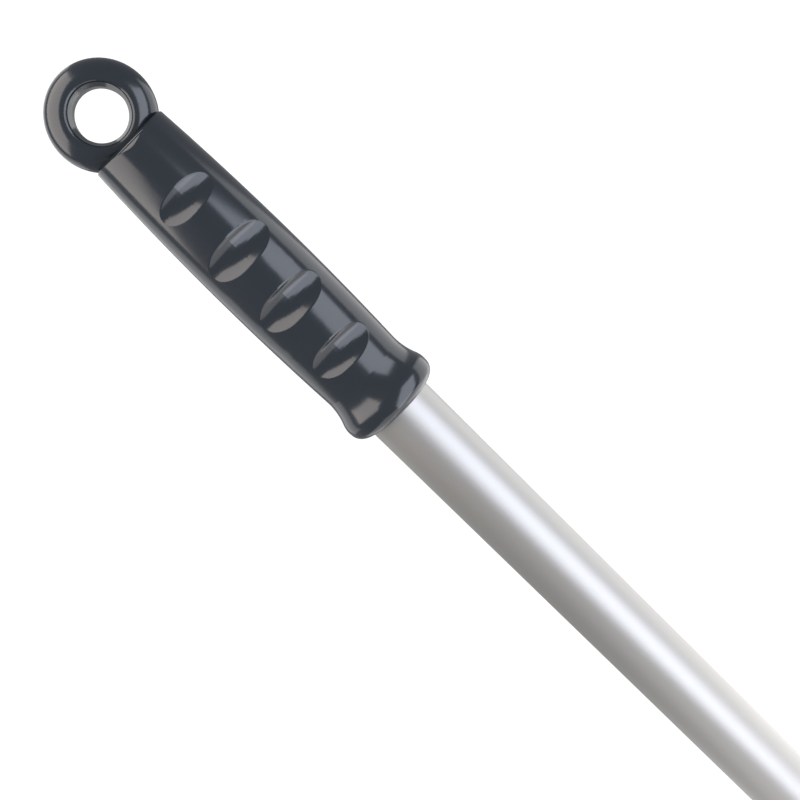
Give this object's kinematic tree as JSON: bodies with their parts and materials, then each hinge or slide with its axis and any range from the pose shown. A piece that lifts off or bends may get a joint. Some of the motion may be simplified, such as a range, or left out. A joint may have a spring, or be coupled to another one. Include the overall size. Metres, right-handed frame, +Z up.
{
  "type": "carpet sweeper",
  "caption": "Push carpet sweeper: low rounded head with wheel-driven roller brush and two tipping dust pans, bent-rod bail, long tube handle, finger grip with hanging ring.",
  "frame": {"origin": "on the floor, under the middle of the head", "axes": "+Z up along the parked handle, +X across the head to the release button, -Y to the front, where the finger scoops face, +Y to the user"},
  "size_m": [0.291, 0.214, 1.2162],
  "materials": {
    "cover_plastic": "moulded, dark slate, semi-gloss",
    "grip_plastic": "moulded, dark slate, glossy",
    "bumper_rubber": "soft matt strip",
    "frame_steel": "pressed sheet, grey paint",
    "drum_rubber": "ribbed, matt",
    "bush_plastic": "acetal, off-white",
    "rod_steel": "plated, polished",
    "pin_steel": "zinc plated",
    "wheel_plastic": "moulded, slate grey",
    "tyre_rubber": "fine-ribbed, matt",
    "bristle": "nylon bristle, black",
    "brush_wood": "turned beech, clear lacquer",
    "button_steel": "plated",
    "spring_steel": "drawn wire, bright",
    "button_plastic": "moulded, light slate",
    "frame_plastic": "moulded, grey",
    "pan_plastic": "moulded, slate, fine texture",
    "tube_aluminium": "anodised, satin, silver"
  },
  "bodies": {
    "head": {"top_cover": "cover_plastic", "bumper_strip": "bumper_rubber", "wheel_box_left": "frame_steel", "wheel_box_right": "frame_steel", "wheel_box_screws": "pin_steel", "corner_tufts": "bristle", "brush_bush_left": "bush_plastic", "brush_bush_right": "bush_plastic", "pivot_bush_left": "bush_plastic", "pivot_bush_right": "bush_plastic", "return_spring_front": "spring_steel", "return_spring_rear": "spring_steel", "wheel_axle_front_left": "pin_steel", "wheel_axle_front_right": "pin_steel", "wheel_axle_rear_left": "pin_steel", "wheel_axle_rear_right": "pin_steel"},
    "handle": {"bail_rod_left": "rod_steel", "bail_rod_right": "rod_steel", "handle_socket": "grip_plastic", "tube_lower": "tube_aluminium", "tube_middle": "tube_aluminium", "tube_upper": "tube_aluminium", "tube_joint_lower": "grip_plastic", "tube_joint_upper": "grip_plastic", "grip": "grip_plastic", "snap_spring": "spring_steel"},
    "snap": {"snap_button": "button_steel"},
    "brush": {"brush_shaft": "pin_steel", "brush_core": "brush_wood", "brush_bristles": "bristle", "drive_drum_left": "drum_rubber", "drive_drum_right": "drum_rubber"},
    "release": {"release_button": "button_plastic", "pusher_bar": "frame_plastic"},
    "wheel_front_left": {"wheel_hub_front_left": "wheel_plastic", "tyre_front_left": "tyre_rubber"},
    "wheel_front_right": {"wheel_hub_front_right": "wheel_plastic", "tyre_front_right": "tyre_rubber"},
    "wheel_rear_left": {"wheel_hub_rear_left": "wheel_plastic", "tyre_rear_left": "tyre_rubber"},
    "wheel_rear_right": {"wheel_hub_rear_right": "wheel_plastic", "tyre_rear_right": "tyre_rubber"},
    "pan_front": {"dust_pan_front": "pan_plastic", "pan_rod_front": "pin_steel", "pan_crank_front": "pin_steel"},
    "pan_rear": {"dust_pan_rear": "pan_plastic", "pan_rod_rear": "pin_steel", "pan_crank_rear": "pin_steel"}
  },
  "joints": [
    {"name": "handle_tilt", "type": "hinge", "parent": "head", "child": "handle", "pos_m": [0, 0, 0.045], "axis": [-1, 0, 0], "range_deg": [0, 82]},
    {"name": "brush_spin", "type": "hinge", "parent": "head", "child": "brush", "pos_m": [0, 0, 0.03], "axis": [1, 0, 0], "continuous": true},
    {"name": "release_press", "type": "slide", "parent": "head", "child": "release", "axis": [0, 0, -1], "range_m": [0, 0.012], "stiffness_N_per_m": 600, "springref_m": -0.01, "deforming": ["return_spring_front", "return_spring_rear"]},
    {"name": "snap_press", "type": "slide", "parent": "handle", "child": "snap", "axis": [0, 1, 0], "range_m": [0, 0.0048], "stiffness_N_per_m": 1500, "springref_m": -0.002, "deforming": ["snap_spring"]},
    {"name": "pan_front_open", "type": "hinge", "parent": "head", "child": "pan_front", "pos_m": [0, -0.094, 0.0145], "axis": [-1, 0, 0], "range_deg": [0, 65.1]},
    {"name": "pan_rear_open", "type": "hinge", "parent": "head", "child": "pan_rear", "pos_m": [0, 0.094, 0.0145], "axis": [1, 0, 0], "range_deg": [0, 65.1]},
    {"name": "wheel_front_left_spin", "type": "hinge", "parent": "head", "child": "wheel_front_left", "pos_m": [0, -0.03985, 0.024], "axis": [1, 0, 0], "continuous": true},
    {"name": "wheel_front_right_spin", "type": "hinge", "parent": "head", "child": "wheel_front_right", "pos_m": [0, -0.03985, 0.024], "axis": [1, 0, 0], "continuous": true},
    {"name": "wheel_rear_left_spin", "type": "hinge", "parent": "head", "child": "wheel_rear_left", "pos_m": [0, 0.03985, 0.024], "axis": [1, 0, 0], "continuous": true},
    {"name": "wheel_rear_right_spin", "type": "hinge", "parent": "head", "child": "wheel_rear_right", "pos_m": [0, 0.03985, 0.024], "axis": [1, 0, 0], "continuous": true}
  ],
  "couplings": [
    {"joint": "pan_front_open", "follows": "release_press", "rad_per_m": 94.5},
    {"joint": "pan_rear_open", "follows": "release_press", "rad_per_m": 94.5},
    {"joint": "wheel_front_left_spin", "follows": "brush_spin", "ratio": -0.66667},
    {"joint": "wheel_front_right_spin", "follows": "brush_spin", "ratio": -0.66667},
    {"joint": "wheel_rear_left_spin", "follows": "brush_spin", "ratio": -0.66667},
    {"joint": "wheel_rear_right_spin", "follows": "brush_spin", "ratio": -0.66667}
  ]
}
